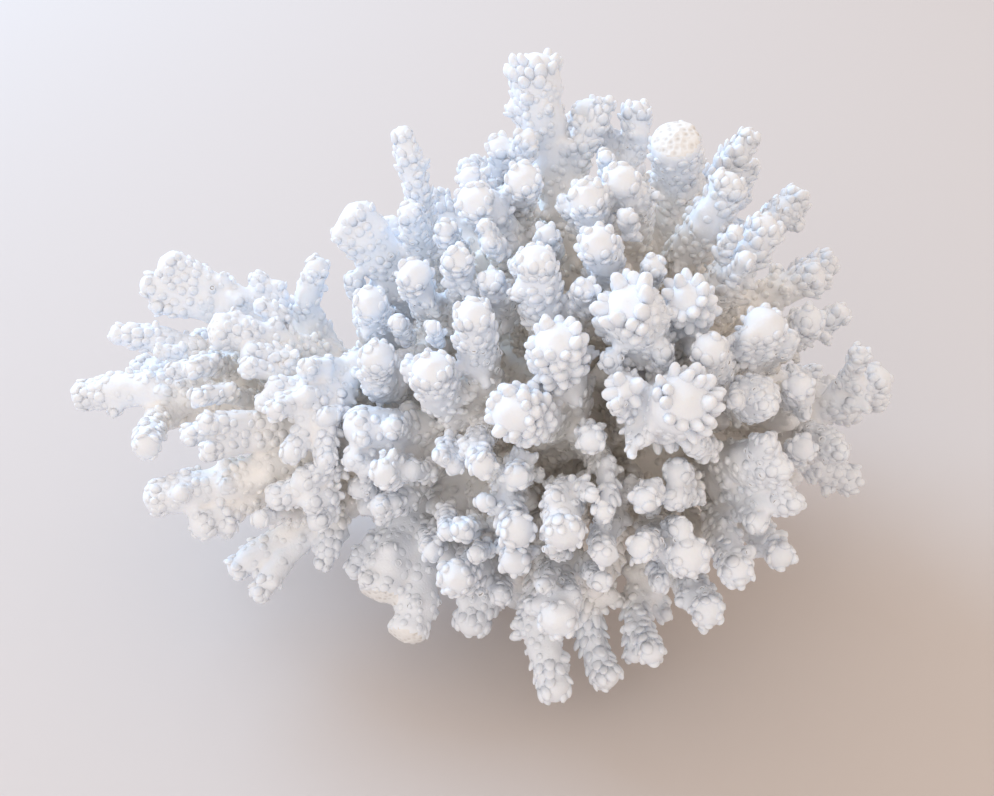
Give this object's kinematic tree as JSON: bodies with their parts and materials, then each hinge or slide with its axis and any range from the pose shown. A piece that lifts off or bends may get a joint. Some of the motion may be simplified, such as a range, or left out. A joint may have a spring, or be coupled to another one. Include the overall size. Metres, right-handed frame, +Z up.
{
  "type": "branching coral",
  "caption": "Bleached branching coral colony: short knobbly fingers radiating from a low mass, with an arm to one side and a flat cut base.",
  "frame": {"origin": "middle of the flat cut on which the colony rests", "axes": "+Z up, out of the cut through the colony; +X along the colony's length, away from its side arm; +Y to the back, the side that the picture doesn't show"},
  "size_m": [0.1414, 0.1061, 0.0869],
  "materials": {
    "coral_skeleton": "matt, bleached white"
  },
  "bodies": {
    "root": {"holdfast": "coral_skeleton", "left_end_branch": "coral_skeleton", "left_upper_branch": "coral_skeleton", "left_lower_branch": "coral_skeleton", "left_foot_branch": "coral_skeleton", "left_face_branch": "coral_skeleton", "back_left_branch": "coral_skeleton", "upper_left_branch": "coral_skeleton", "front_left_branch": "coral_skeleton", "low_left_branch": "coral_skeleton", "middle_left_branch": "coral_skeleton", "top_left_branch": "coral_skeleton", "summit_branch": "coral_skeleton", "top_branch": "coral_skeleton", "top_right_branch": "coral_skeleton", "upper_middle_branch": "coral_skeleton", "centre_branch": "coral_skeleton", "centre_right_branch": "coral_skeleton", "right_upper_branch": "coral_skeleton", "right_face_branch": "coral_skeleton", "right_end_branch": "coral_skeleton", "right_lower_branch": "coral_skeleton", "low_right_branch": "coral_skeleton", "front_right_branch": "coral_skeleton", "front_branch": "coral_skeleton", "front_low_branch": "coral_skeleton", "back_right_branch": "coral_skeleton", "back_middle_branch": "coral_skeleton", "back_branch": "coral_skeleton", "back_upper_branch": "coral_skeleton", "back_end_branch": "coral_skeleton", "back_low_branch": "coral_skeleton", "right_under_branch": "coral_skeleton"}
  },
  "joints": []
}
